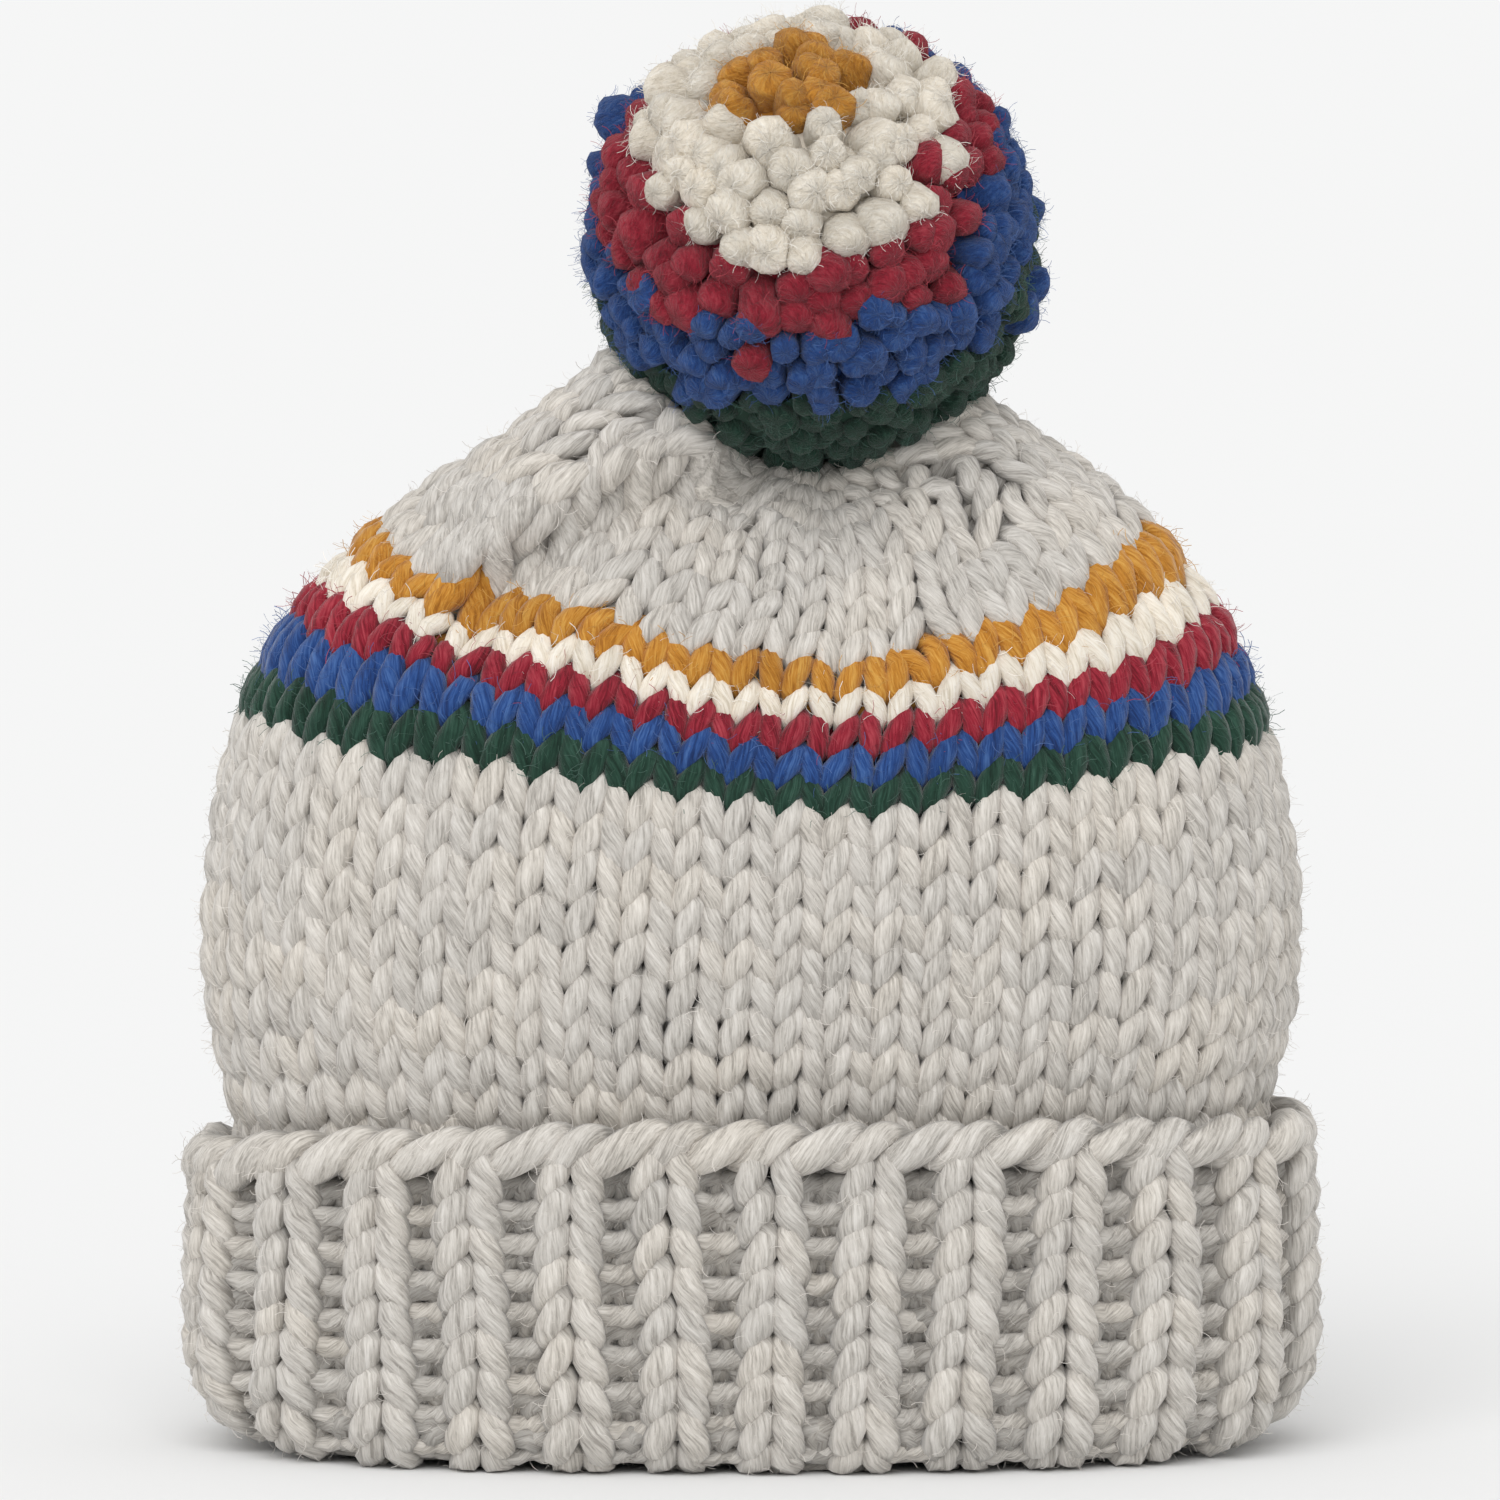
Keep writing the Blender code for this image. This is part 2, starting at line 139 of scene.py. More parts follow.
# how far one stitch differs from the next: shares of its sway, reach and thickness, stitches to the
# side, metres outwards and rows upwards
UNEVEN = {"sway": 0.14, "reach": 0.07, "thick": 0.07, "side": 0.04, "out": 0.0004, "up": 0.05}
GREY = ((0.34, 0.318, 0.292), (0.575, 0.547, 0.51), (0.76, 0.732, 0.695))
GREY_TINTS = ((0.93, 0.93, 0.925), (1.0, 0.995, 0.985), (1.05, 1.03, 0.995))

# The wall, level by level, as the solids have it but a little lower beside the pompom. row: knitted
# rows above the cuff's edge. left, right, depth: shares of half the width and depth. rise_...: shares
# of the rise above the cuff. low: where the row hangs lowest. square: the plan's exponent. spread: how
# much wider the stitches lie at the front than at the sides.
LEVEL_COLUMNS = ("row", "left", "right", "depth", "rise_left", "rise_front", "rise_right", "low",
                 "square", "spread")
LEVELS = (
    (-2.0, -0.946, 0.946, 0.910, -0.116, -0.116, -0.116, 0.00, 2.4, 0.00),
    (0.0, -0.946, 0.946, 0.915, -0.020, 0.000, -0.004, 0.02, 2.4, 0.00),
    (3.0, -0.996, 0.996, 0.978, 0.168, 0.142, 0.155, 0.08, 2.3, 0.00),
    (6.0, -0.984, 0.992, 1.000, 0.355, 0.284, 0.335, 0.16, 2.3, 0.02),
    (9.0, -0.931, 0.952, 0.970, 0.535, 0.426, 0.510, 0.24, 2.2, 0.06),
    (10.0, -0.892, 0.926, 0.940, 0.600, 0.464, 0.568, 0.24, 2.2, 0.08),
    (11.0, -0.844, 0.896, 0.905, 0.665, 0.502, 0.623, 0.22, 2.2, 0.09),
    (12.0, -0.792, 0.862, 0.865, 0.716, 0.539, 0.674, 0.20, 2.2, 0.10),
    (13.0, -0.732, 0.802, 0.820, 0.758, 0.577, 0.729, 0.18, 2.2, 0.11),
    (14.0, -0.670, 0.742, 0.770, 0.800, 0.614, 0.787, 0.17, 2.2, 0.12),
    (16.0, -0.468, 0.594, 0.655, 0.903, 0.686, 0.880, 0.15, 2.1, 0.10),
    (18.0, -0.315, 0.460, 0.510, 0.988, 0.752, 0.944, 0.13, 2.1, 0.05),
    (19.0, -0.235, 0.385, 0.425, 1.008, 0.782, 0.945, 0.12, 2.0, 0.00),
    (20.0, -0.120, 0.300, 0.330, 0.930, 0.809, 0.910, 0.12, 2.0, 0.00),
    (22.0, 0.043, 0.180, 0.120, 0.859, 0.853, 0.859, 0.12, 2.0, 0.00),
    (23.0, 0.111, 0.115, 0.010, 0.855, 0.855, 0.855, 0.113, 2.0, 0.00),
)
SAG_POWER = 1.5
GRID_STEP = 0.125
GRID_AROUND = 624
PLAN_STEPS = 1440
SHORT_OF_END = 1.001

# The crown's crease: it runs from low on the left up to the pompom, with a ridge above it and a
# valley below.
CREASE_START = (-0.575, 0.680)
CREASE_END = (-0.070, 0.885)
CREASE_RIDGE = 0.007
CREASE_VALLEY = 0.011
CREASE_EDGE = 0.0025
CREASE_REACH = 0.012
CREASE_BOW = 0.006
CREASE_DEPTH_FADE = 0.015
CREASE_GROWS = 0.25
CREASE_RUN_END = 1.2
CREASE_FIRST_ROW = STRIPE_END - 3
TUCK_AT = -0.56
TUCK_DROP = 0.007
TUCK_REACH = 0.012
TUCK_GROWS = (11.0, 14.0)
TUCK_GOES = (14.5, 17.5)

core_low, core_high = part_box("pompom_core")
POMPOM_CENTRE = (np.array(core_low) + np.array(core_high)) / 2
POMPOM_RADIUS = 0.048
SEAT_GAP = 0.0003
SEAT_LIFT = 0.0024
SEAT_REACH = 0.004
CUFF_PRESS = 0.0016
PRESS_ROWS = 1.3
FACING_POWER = 4


def level_curves(rows):
    """Every column of LEVELS at each of many rows, on one smooth curve through the levels."""
    levels = np.array(LEVELS)
    known = levels[:, 0]
    index = np.clip(np.searchsorted(known, rows, side="right") - 1, 0, len(known) - 2)
    before = np.maximum(index - 1, 0)
    after = np.minimum(index + 2, len(known) - 1)
    start = levels[index]
    end = levels[index + 1]
    span = (known[index + 1] - known[index])[:, None]
    t = (rows[:, None] - start[:, :1]) / span
    leave = span * (end - levels[before]) / (known[index + 1] - known[before])[:, None]
    arrive = span * (levels[after] - start) / (known[after] - known[index])[:, None]
    rise = end - start
    curve = (3 * rise - 2 * leave - arrive) * t ** 2 + (leave + arrive - 2 * rise) * t ** 3
    return dict(zip(LEVEL_COLUMNS, (start + leave * t + curve).T))


def plan_round(half_width, half_depth, square, shares):
    """Points of a row's plan at shares of its length, from the front round by +X."""
    angles = np.linspace(0, 2 * np.pi, PLAN_STEPS + 1)
    side = np.sin(angles)
    front = -np.cos(angles)
    x = half_width * np.sign(side) * np.abs(side) ** (2 / square)
    y = half_depth * np.sign(front) * np.abs(front) ** (2 / square)
    run = np.concatenate([[0.0], np.cumsum(np.hypot(np.diff(x), np.diff(y)))])
    places = shares * run[-1]
    return np.interp(places, run, x), np.interp(places, run, y)


def sheet_normals(points):
    """The outward direction at each point of a grid that closes on itself sideways."""
    around = np.roll(points, -1, axis=1) - np.roll(points, 1, axis=1)
    up = np.gradient(points, axis=0)
    normals = np.cross(around, up)
    return normals / np.linalg.norm(normals, axis=2, keepdims=True)


def crease(points):
    """How far the crown's fold lifts the wall (ridge) or sinks it (valley)."""
    half = BODY_WIDTH / 2
    start_x, start_z = CREASE_START[0] * half, CUFF_HEIGHT + BODY_RISE * CREASE_START[1]
    end_x, end_z = CREASE_END[0] * half, CUFF_HEIGHT + BODY_RISE * CREASE_END[1]
    run = (points[..., 0] - start_x) / (end_x - start_x)
    line = start_z + (end_z - start_z) * run + CREASE_BOW * 4 * run * (1 - run)
    above = points[..., 2] - line
    fade = np.clip(-points[..., 1] / CREASE_DEPTH_FADE, 0, 1)
    fade = fade * np.sin(np.pi / 2 * np.clip(run / CREASE_GROWS, 0, 1))
    lift = np.where(above > 0, CREASE_RIDGE, CREASE_VALLEY) * np.tanh(above / CREASE_EDGE)
    lift = lift * np.exp(-np.abs(above) / CREASE_REACH)
    return np.where((run > 0) & (run < CREASE_RUN_END), fade * lift, 0.0)


def facing(x):
    """1 where the wall faces forward or back, falling to 0 at the hat's two sides."""
    return 1 - (np.abs(x) / (BODY_WIDTH / 2)).clip(0, 1) ** FACING_POWER


def body_sheet():
    """The middle of the wall's thickness from the seam in the cuff to the gather, as a grid."""
    rows = np.arange(LEVELS[0][0], LEVELS[-1][0] - GRID_STEP / 2, GRID_STEP)
    here = level_curves(rows)
    turn = np.arange(GRID_AROUND) / GRID_AROUND
    points = np.zeros((len(rows), GRID_AROUND, 3))
    half = BODY_WIDTH / 2
    for k in range(len(rows)):
        shares = turn + here["spread"][k] * np.sin(4 * np.pi * turn) / (4 * np.pi)
        left, right, low = here["left"][k] * half, here["right"][k] * half, here["low"][k] * half
        half_depth = here["depth"][k] * BODY_DEPTH / 2
        x, y = plan_round((right - left) / 2, half_depth, here["square"][k], shares)
        x = x + (right + left) / 2
        edge = np.where(x > low, right, left)
        side_rise = np.where(x > low, here["rise_right"][k], here["rise_left"][k])
        sag = np.clip(np.abs((x - low) / (edge - low)), 0, 1) ** SAG_POWER
        rise = here["rise_front"][k] + (side_rise - here["rise_front"][k]) * sag
        grown = (rows[k] - TUCK_GROWS[0]) / (TUCK_GROWS[1] - TUCK_GROWS[0])
        left_over = (TUCK_GOES[1] - rows[k]) / (TUCK_GOES[1] - TUCK_GOES[0])
        tuck = TUCK_DROP * min(max(grown, 0), 1) * min(max(left_over, 0), 1)
        tuck = tuck * np.clip(-y / CREASE_DEPTH_FADE, 0, 1)
        tuck = tuck * np.exp(-((x - half * TUCK_AT) / TUCK_REACH) ** 2)
        points[k] = np.stack([x, y, CUFF_HEIGHT + BODY_RISE * rise - tuck], axis=1)
    normals = sheet_normals(points)
    fold = np.where(rows[:, None] > CREASE_FIRST_ROW, crease(points), 0.0)
    points = points + normals * fold[..., None]
    away = points - POMPOM_CENTRE
    distance = np.linalg.norm(away, axis=2, keepdims=True)
    points = POMPOM_CENTRE + away * np.maximum(1, (POMPOM_RADIUS + SEAT_GAP) / distance)
    normals = sheet_normals(points)
    from_ball = np.linalg.norm(points - POMPOM_CENTRE, axis=2, keepdims=True) - POMPOM_RADIUS
    seated = SEAT_LIFT * np.exp(-(from_ball / SEAT_REACH) ** 2)
    pressed = CUFF_PRESS * np.exp(-(rows / PRESS_ROWS) ** 2)[:, None, None] * facing(points[..., :1])
    return rows[0], points - normals * (WALL / 2 - seated + pressed), normals


def place(sheet, rows, turn, out):
    """Points of a sheet at rows and shares of a turn, set out from it, with its normals there."""
    first, points, normals = sheet
    row = np.clip((rows - first) / GRID_STEP, 0, len(points) - SHORT_OF_END)
    low = row.astype(int)
    up = (row - low)[:, None]
    around = (turn % 1.0) * GRID_AROUND
    left = around.astype(int) % GRID_AROUND
    right = (left + 1) % GRID_AROUND
    side = (around - np.floor(around))[:, None]

    def blended(grid):
        bottom = grid[low, left] * (1 - side) + grid[low, right] * side
        top = grid[low + 1, left] * (1 - side) + grid[low + 1, right] * side
        return bottom * (1 - up) + top * up

    normal = blended(normals)
    normal /= np.linalg.norm(normal, axis=1, keepdims=True)
    return blended(points) + normal * out[:, None], normal


def along(values, index):
    """A row's places, one for each stitch, read between stitches; shares of a turn run on past 1."""
    count = len(values)
    turns = np.floor(index / count)
    wrapped = np.append(values, values[0] + 1)
    return np.interp(index - turns * count, np.arange(count + 1), wrapped) + turns


def stitch_noise(draws, count, index):
    """A smooth random run along a row, one draw for each stitch."""
    values = draws.uniform(-1, 1, count)
    values = np.append(values, values[0])
    return np.interp(index % count, np.arange(count + 1), values)


def wander(row, index, count):
    """How far the knitting drifts sideways (in stitches) and up (in rows) from a perfect grid."""
    turn = 2 * np.pi * index / count
    sideways = SIDE_DRIFT * np.sin(0.42 * row + 2.0 * np.sin(3 * turn))
    sideways = sideways + SIDE_RIPPLE * np.sin(0.9 * row + 11 * turn)
    upward = UP_DRIFT * np.sin(0.5 * row + 5 * turn) + UP_RIPPLE * np.sin(11 * turn + 1.1 * row)
    return sideways, upward


def level_rows(rows, turn):
    """Knitted rows as they lie below the crown: one to each row of the sheet."""
    return rows


def knit_row(sheet, row, columns, below, above, draws, points=STITCH_POINTS, lean=LOOP_LEAN, rib=None,
             settle=level_rows):
    """One row of loops as a strand: its path, the sheet's normals, thickness, tone and how far to
    the front it lies. columns, below and above place each stitch in this row and its neighbours.
    With rib, every second column is a rib and the one beside it lies back as purl. settle: where the
    rows lie on the sheet."""
    count = len(columns)
    t = 2 * np.pi * np.arange(count * points) / points
    flat = t / (2 * np.pi)
    sway = LOOP_SWAY * (1 + UNEVEN["sway"] * stitch_noise(draws, count, flat))
    reach = LOOP_REACH * np.cos(t) * (1 + UNEVEN["reach"] * stitch_noise(draws, count, flat))
    # front: how far the yarn lies forward; where it lies back, in the hollows and the purl furrows, the
    # wool draws it with painted shade
    front = -np.cos(2 * t)
    thick = THIN_AT_TURNS + PLUMP_AT_LEGS * np.sin(t) ** 2
    thick = thick * (1 + UNEVEN["thick"] * stitch_noise(draws, count, flat))
    lift = np.zeros(len(t))
    if rib:
        knit = np.clip(RIB_EDGE * np.cos(np.pi * flat), -1, 1)
        sway = sway * np.where(knit > 0, rib["knit_sway"], rib["purl_sway"])
        front = front * knit
        thick = thick * np.interp(knit, (-1, 1), (rib["purl_thick"], rib["knit_thick"]))
    index = flat + sway * np.sin(2 * t) + lean * np.cos(t)
    if rib:
        lift = rib["depth"] / 2 * np.cos(np.pi * index)
        index = index + rib["spread"] * np.sin(np.pi * index)
    sideways, upward = wander(row, flat, count)
    index = index + sideways + UNEVEN["side"] * stitch_noise(draws, count, flat)
    here = along(columns, index)
    there = np.where(reach < 0, along(below, index), along(above, index))
    turn = here + (there - here) * np.abs(reach)
    out = LOOP_DEPTH * front + lift + UNEVEN["out"] * stitch_noise(draws, count, flat)
    height = row + 0.5 + reach + upward + UNEVEN["up"] * stitch_noise(draws, count, flat)
    rows = settle(height, turn)
    path, normals = place(sheet, rows, turn, out)
    top = place(sheet, settle(height + 0.5, turn), turn, out)[0]
    taller = top - place(sheet, settle(height - 0.5, turn), turn, out)[0]
    wider = place(sheet, rows, turn + 0.5 / count, out)[0]
    wider = wider - place(sheet, rows, turn - 0.5 / count, out)[0]
    room = np.linalg.norm(taller, axis=1) / ROW_HEIGHT * np.linalg.norm(wider, axis=1) / STITCH_WIDTH
    thick = thick * np.clip(np.sqrt(room), *ROOM_LIMITS)
    tone = 0.5 + 0.5 * stitch_noise(draws, count, flat)
    return {"path": path, "normals": normals, "thick": thick, "tone": tone, "front": front}


def spin_yarn(name, strands, material, yarn=YARN, closed=True, floor=None, lump=0.03, roundness=2):
    """Strands of yarn as one mesh, each point knowing where it lies on its twisted fibres."""
    curve = bpy.data.curves.new(name, "CURVE")
    curve.dimensions = "3D"
    curve.bevel_depth = yarn / 2
    curve.bevel_resolution = roundness
    for strand in strands:
        spline = curve.splines.new("POLY")
        spline.points.add(len(strand["path"]) - 1)
        places = np.column_stack([strand["path"], np.ones(len(strand["path"]))])
        spline.points.foreach_set("co", places.ravel())
        spline.points.foreach_set("radius", strand["thick"])
        spline.use_cyclic_u = closed
    drawn = bpy.data.objects.new(name + "_path", curve)
    bpy.context.scene.collection.objects.link(drawn)
    mesh = bpy.data.meshes.new_from_object(drawn.evaluated_get(bpy.context.evaluated_depsgraph_get()))
    bpy.data.objects.remove(drawn)
    bpy.data.curves.remove(curve)
    mesh.name = name

    path = np.concatenate([strand["path"] for strand in strands])
    sides = len(mesh.vertices) // len(path)
    skin = np.empty(len(mesh.vertices) * 3)
    mesh.vertices.foreach_get("co", skin)
    skin = skin.reshape(-1, sides, 3)
    if closed:
        ahead = [np.roll(s["path"], -1, axis=0) - np.roll(s["path"], 1, axis=0) for s in strands]
    else:
        ahead = [np.gradient(s["path"], axis=0) for s in strands]
    ahead = np.concatenate(ahead)
    ahead /= np.linalg.norm(ahead, axis=1, keepdims=True)
    outward = np.concatenate([strand["normals"] for strand in strands])
    outward = outward - ahead * np.sum(outward * ahead, axis=1, keepdims=True)
    outward /= np.linalg.norm(outward, axis=1, keepdims=True)
    beside = np.cross(ahead, outward)
    steps = [np.linalg.norm(np.diff(s["path"], axis=0, prepend=s["path"][:1]), axis=1) for s in strands]
    starts = [np.cumsum(step) + STRAND_OFFSET * k for k, step in enumerate(steps)]
    run = (np.concatenate(starts) * MILLIMETRES)[:, None]
    spoke = skin - path[:, None, :]
    sideways = np.sum(spoke * beside[:, None, :], axis=2)
    forward = np.sum(spoke * outward[:, None, :], axis=2)
    angle = np.arctan2(sideways, forward)
    lay = angle + YARN_TWIST * run
    radius = yarn / 2 * MILLIMETRES
    round_yarn = [radius * np.cos(lay), radius * np.sin(lay)]
    fibre = np.stack(round_yarn + [np.broadcast_to(run, lay.shape)], axis=2)
    tone = np.concatenate([strand["tone"] for strand in strands])
    front = np.concatenate([strand["front"] for strand in strands])
    # showing: 1 where the yarn lies to the front and faces out; the wool paints the rest darker as painted
    # shade, and the hairs grow most where it is 1
    faces_out = np.clip(np.cos(angle), 0, 1) if closed else np.ones_like(angle)
    showing = np.clip(front, 0, 1)[:, None] * faces_out

    for label, kind, values in (("fibre", "FLOAT_VECTOR", fibre),
                                ("tone", "FLOAT", np.repeat(tone, sides)),
                                ("showing", "FLOAT", showing)):
        layer = mesh.attributes.new(label, kind, "POINT")
        layer.data.foreach_set("vector" if kind == "FLOAT_VECTOR" else "value", values.ravel())
    uneven = [noise.noise(Vector(corner) * LUMPS_PER_METRE) for corner in skin.reshape(-1, 3)]
    skin = path[:, None, :] + spoke * (1 + lump * np.array(uneven).reshape(len(path), sides, 1))
    if floor is not None:
        skin[..., 2] = np.maximum(skin[..., 2], floor)
    mesh.vertices.foreach_set("co", skin.ravel())
    mesh.shade_smooth()
    mesh.materials.clear()
    mesh.materials.append(material)
    piece = bpy.data.objects.new(name, mesh)
    bpy.context.scene.collection.objects.link(piece)
    return piece


PLAIN_TINTS = ((0.90, 0.90, 0.90), (1.0, 1.0, 1.0), (1.06, 1.05, 1.04))
# painted shade: the share of its colour that the wool keeps where the yarn lies deepest in the knitting
PAINTED_DEEP_SHADE = 0.62


def colour_ramp(tree, value, stops):
    """A colour that follows a value through stops, each a position and a colour, lowest first."""
    ramp = tree.nodes.new("ShaderNodeValToRGB")
    elements = ramp.color_ramp.elements
    for element, (position, colour) in zip(elements, (stops[0], stops[-1])):
        element.position = position
        element.color = (*colour, 1)
    for position, colour in stops[1:-1]:
        elements.new(position).color = (*colour, 1)
    tree.links.new(value, ramp.inputs["Fac"])
    return ramp.outputs["Color"]


def multiplied(tree, colour, by):
    """One colour times another; a Mix node's colours are its inputs 6 and 7 and its output 2."""
    mix = tree.nodes.new("ShaderNodeMix")
    mix.data_type = "RGBA"
    mix.blend_type = "MULTIPLY"
    mix.inputs["Factor"].default_value = 1.0
    tree.links.new(colour, mix.inputs[6])
    tree.links.new(by, mix.inputs[7])
    return mix.outputs[2]


def yarn_value(tree, label):
    """The node that reads one of the values that spin_yarn writes on a mesh."""
    reader = tree.nodes.new("ShaderNodeAttribute")
    reader.attribute_name = label
    return reader


def wool(name, shades, tints=PLAIN_TINTS, lay=0.14, streak=0.55, sheen=0.30, fluff=0.4,
         painted_deep_shade=PAINTED_DEEP_SHADE):
    """Carded wool: fine fibres that lie with the yarn's twist, in a few shades of one colour, a
    slightly different tint from stitch to stitch, and painted shade: darker where the yarn lies deep in
    the knitting or faces away. lay: how long the fibres' streaks are, where 1 is no longer than they are
    wide; fluff: how much they stand up."""
    deep, main, pale = shades
    material = bpy.data.materials.new(name)
    material.use_nodes = True
    tree = material.node_tree
    nodes = tree.nodes
    links = tree.links
    shader = nodes["Principled BSDF"]
    shader.inputs["Roughness"].default_value = 0.92
    shader.inputs["Specular IOR Level"].default_value = 0.18
    shader.inputs["Sheen Weight"].default_value = sheen
    shader.inputs["Sheen Roughness"].default_value = 0.45
    stretch = nodes.new("ShaderNodeMapping")
    stretch.inputs["Scale"].default_value = (1.0, 1.0, lay)
    links.new(yarn_value(tree, "fibre").outputs["Vector"], stretch.inputs["Vector"])
    strands = nodes.new("ShaderNodeTexNoise")
    strands.inputs["Scale"].default_value = 2.1
    strands.inputs["Detail"].default_value = 4.0
    strands.inputs["Roughness"].default_value = 0.65
    links.new(stretch.outputs["Vector"], strands.inputs["Vector"])
    patches = nodes.new("ShaderNodeTexNoise")
    patches.inputs["Scale"].default_value = 0.55
    patches.inputs["Detail"].default_value = 2.0
    links.new(stretch.outputs["Vector"], patches.inputs["Vector"])
    mixed = nodes.new("ShaderNodeMix")
    mixed.inputs["Factor"].default_value = 0.35
    links.new(strands.outputs["Fac"], mixed.inputs["A"])
    links.new(patches.outputs["Fac"], mixed.inputs["B"])
    streaks = colour_ramp(tree, mixed.outputs["Result"],
                          ((0.5 - 0.25 * streak, deep), (0.49, main), (0.5 + 0.25 * streak, pale)))
    tint = colour_ramp(tree, yarn_value(tree, "tone").outputs["Fac"], tuple(zip((0.1, 0.5, 0.9), tints)))
    dyed = multiplied(tree, streaks, tint)
    # painted shade: the colour is darkened where the showing value is low, where the yarn lies back in the
    # knitting or faces away
    depth = nodes.new("ShaderNodeMapRange")
    depth.interpolation_type = "SMOOTHSTEP"
    depth.inputs["From Max"].default_value = 0.45
    depth.inputs["To Min"].default_value = painted_deep_shade
    links.new(yarn_value(tree, "showing").outputs["Fac"], depth.inputs["Value"])
    links.new(multiplied(tree, dyed, depth.outputs["Result"]), shader.inputs["Base Color"])
    relief = nodes.new("ShaderNodeBump")
    relief.inputs["Strength"].default_value = fluff
    relief.inputs["Distance"].default_value = 0.001
    links.new(strands.outputs["Fac"], relief.inputs["Height"])
    links.new(relief.outputs["Normal"], shader.inputs["Normal"])
    return material


BACKING_SIDES = 156
BACKING_STEPS = 2
BACKING_IN = 0.0006
BACKING_TONE = 0.3


def add_backing(name, sheet, first, last, colour, inset=BACKING_IN):
    """The loose fibre that fills the stitches from behind, as a thin layer between two rows. It stands for
    the back of the knitting and, having no showing value, is drawn in the full painted shade, standing for
    the shade in the holes between the stitches.
    """
    steps = max(int(math.ceil((last - first) * BACKING_STEPS)), 1)
    layer = bmesh.new()
    bmesh.ops.create_grid(layer, x_segments=BACKING_SIDES, y_segments=steps, size=1)
    rows = np.repeat(np.linspace(first, last, steps + 1), BACKING_SIDES + 1)
    turn = np.tile(np.arange(BACKING_SIDES + 1) / BACKING_SIDES, steps + 1)
    path, _ = place(sheet, rows, turn, np.full(len(rows), -inset))
    fibre = layer.verts.layers.float_vector.new("fibre")
    tone = layer.verts.layers.float.new("tone")
    for vert, spot in zip(layer.verts, path):
        vert.co = spot
        vert[fibre] = spot * MILLIMETRES
        vert[tone] = BACKING_TONE
    bmesh.ops.remove_doubles(layer, verts=layer.verts[:], dist=1e-6)
    mesh = bpy.data.meshes.new(name)
    layer.to_mesh(mesh)
    layer.free()
    mesh.shade_smooth()
    mesh.materials.append(yarns[colour])
    piece = bpy.data.objects.new(name, mesh)
    bpy.context.scene.collection.objects.link(piece)
    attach(piece, "root")


WALL_SHEET = body_sheet()
plain_columns = (np.arange(STITCHES) + COLUMN_SHIFT) / STITCHES
grey_wool = wool("grey_wool", GREY, GREY_TINTS)
yarns = {"grey": grey_wool}
draws = np.random.RandomState(11)
body_strands = [knit_row(WALL_SHEET, row, plain_columns, plain_columns, plain_columns, draws)
                for row in range(-HIDDEN_ROWS, BODY_ROWS)]
body = spin_yarn("body_knitting", body_strands, grey_wool)
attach(body, "root")
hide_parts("body")
add_backing("body_backing", WALL_SHEET, -1.0, BODY_ROWS, "grey")

# The stripes: five rows of the same knitting, one row to a yarn. The hat starts to narrow here, so
# from one row to the next a few stitches are knitted two together.
DRAWN_BELOW = 0.6
# colour, stitches, how plump its yarn is, and its dark, main and pale shade
STRIPES = (
    ("green", 52, 1.00, ((0.006, 0.020, 0.013), (0.014, 0.046, 0.030), (0.035, 0.090, 0.064))),
    ("blue", 50, 1.00, ((0.010, 0.028, 0.11), (0.018, 0.062, 0.225), (0.06, 0.14, 0.36))),
    ("red", 48, 0.97, ((0.11, 0.007, 0.013), (0.27, 0.014, 0.030), (0.42, 0.055, 0.075))),
    ("cream", 46, 0.88, ((0.60, 0.53, 0.42), (0.81, 0.745, 0.64), (0.92, 0.88, 0.80))),
    ("gold", 44, 1.02, ((0.30, 0.11, 0.012), (0.51, 0.22, 0.030), (0.66, 0.36, 0.08))),
)


def narrowed(columns, count):
    """The columns of a row with fewer stitches, and the column below each: a few pairs are knitted
    together, and the row then spreads part of the way to even."""
    parents = np.floor((np.arange(count) + 0.5) * len(columns) / count).astype(int)
    below = columns[parents]
    even = (np.arange(count) + COLUMN_SHIFT) / count
    return DRAWN_BELOW * below + (1 - DRAWN_BELOW) * even, below


def child_columns(columns, upper, parents_of_upper):
    """For each stitch of a row, the place of the stitch above that draws on it."""
    nearest = np.abs((parents_of_upper[None, :] - columns[:, None] + 0.5) % 1 - 0.5).argmin(axis=1)
    shift = (upper[nearest] - columns + 0.5) % 1 - 0.5
    return columns + shift


CROWN_COUNTS = (38, 36, 33, 30, 28, 25, 20, 13, 6)
counts = [count for _, count, _, _ in STRIPES] + list(CROWN_COUNTS)
row_columns = [plain_columns]
row_below = [plain_columns]
for count in counts:
    columns, below = narrowed(row_columns[-1], count)
    row_columns.append(columns)
    row_below.append(below)
row_above = [child_columns(row_columns[k], row_columns[k + 1], row_below[k + 1])
             for k in range(len(row_columns) - 1)] + [row_columns[-1]]

stripes = {}
for index, (colour, _, plump, shades) in enumerate(STRIPES, start=1):
    yarns[colour] = wool(colour + "_wool", shades)
    strand = knit_row(WALL_SHEET, BODY_ROWS + index - 1, row_columns[index], row_below[index],
                      row_above[index], draws)
    stripes[colour] = spin_yarn(colour + "_row", [strand], yarns[colour], yarn=YARN * plump)
    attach(stripes[colour], "root")
    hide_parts("stripe_" + colour)
    add_backing(colour + "_backing", WALL_SHEET, BODY_ROWS + index - 1, BODY_ROWS + index, colour)

# The crown: more grey rows, each with fewer stitches, drawn together under the pompom.
CROWN_ROWS = (0.0, 14.0, 20.0, 21.0, 23.0)
AT_FRONT = (0.0, 14.0, 20.4, 21.3, 22.9)
AT_SIDES = (0.0, 14.0, 18.3, 19.1, 22.9)


